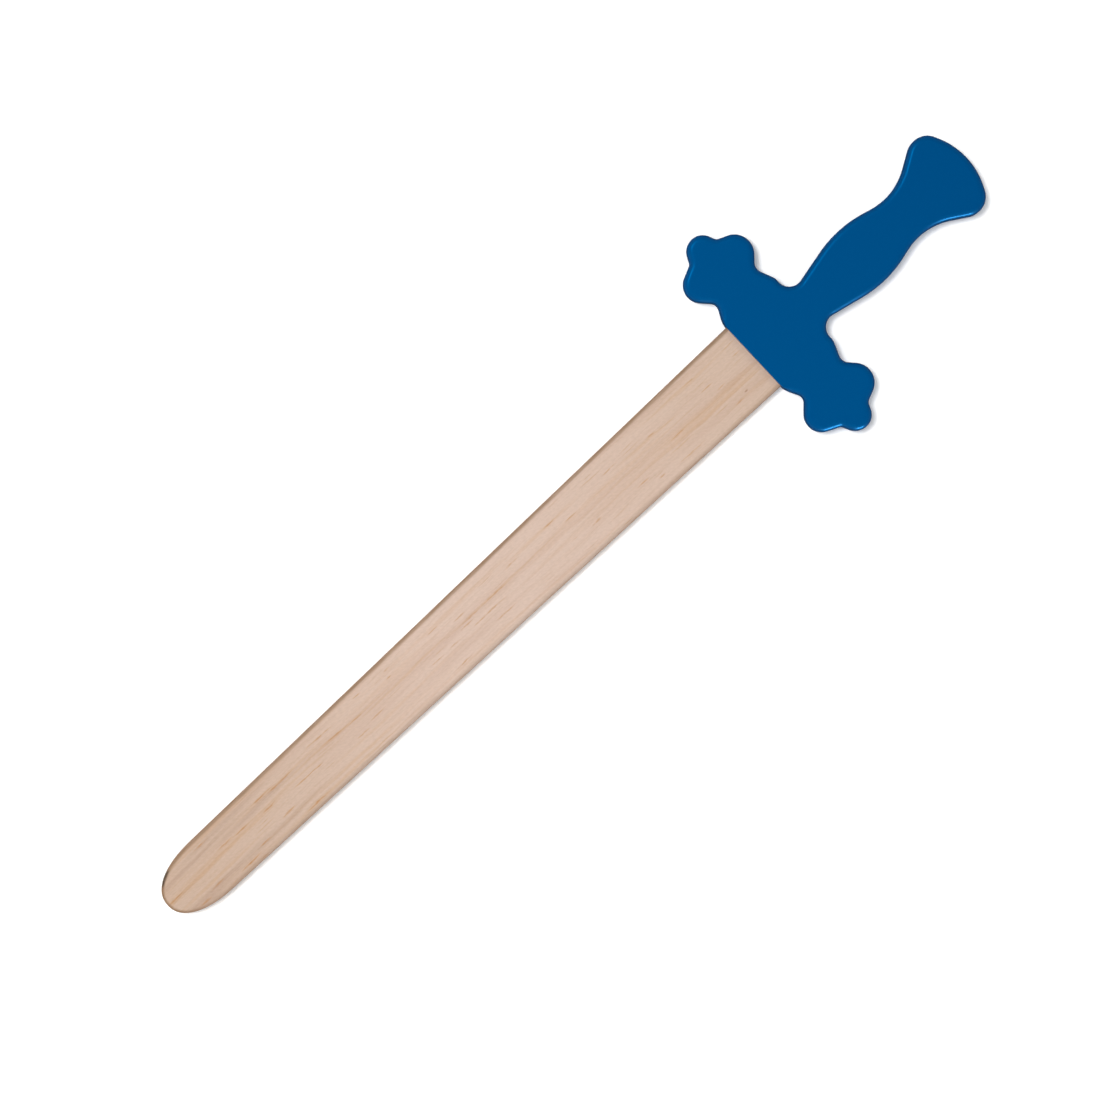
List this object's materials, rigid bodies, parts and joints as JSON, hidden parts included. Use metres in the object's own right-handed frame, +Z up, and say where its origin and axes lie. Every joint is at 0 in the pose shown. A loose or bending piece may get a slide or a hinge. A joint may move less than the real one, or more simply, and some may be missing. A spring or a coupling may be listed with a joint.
{
  "type": "toy sword",
  "caption": "Wooden toy sword with a round-tipped pine blade and a painted hilt with lobed guard ends, a waisted grip and a flared pommel.",
  "frame": {"origin": "under the middle of the sword's length and width, on the surface that its back face lies on", "axes": "+X along the sword from the tip of the blade to the pommel, +Y across its width, +Z up through its thickness"},
  "size_m": [0.6, 0.1404, 0.016],
  "materials": {
    "blue_paint": "satin",
    "pine": "matte",
    "beech": "matte"
  },
  "bodies": {
    "root": {"blade": "pine", "hilt_front": "blue_paint", "hilt_back": "blue_paint", "tang_dowel_guard": "beech", "tang_dowel_grip": "beech", "arm_dowel_left": "beech", "arm_dowel_right": "beech", "pommel_dowel": "beech"}
  },
  "joints": []
}
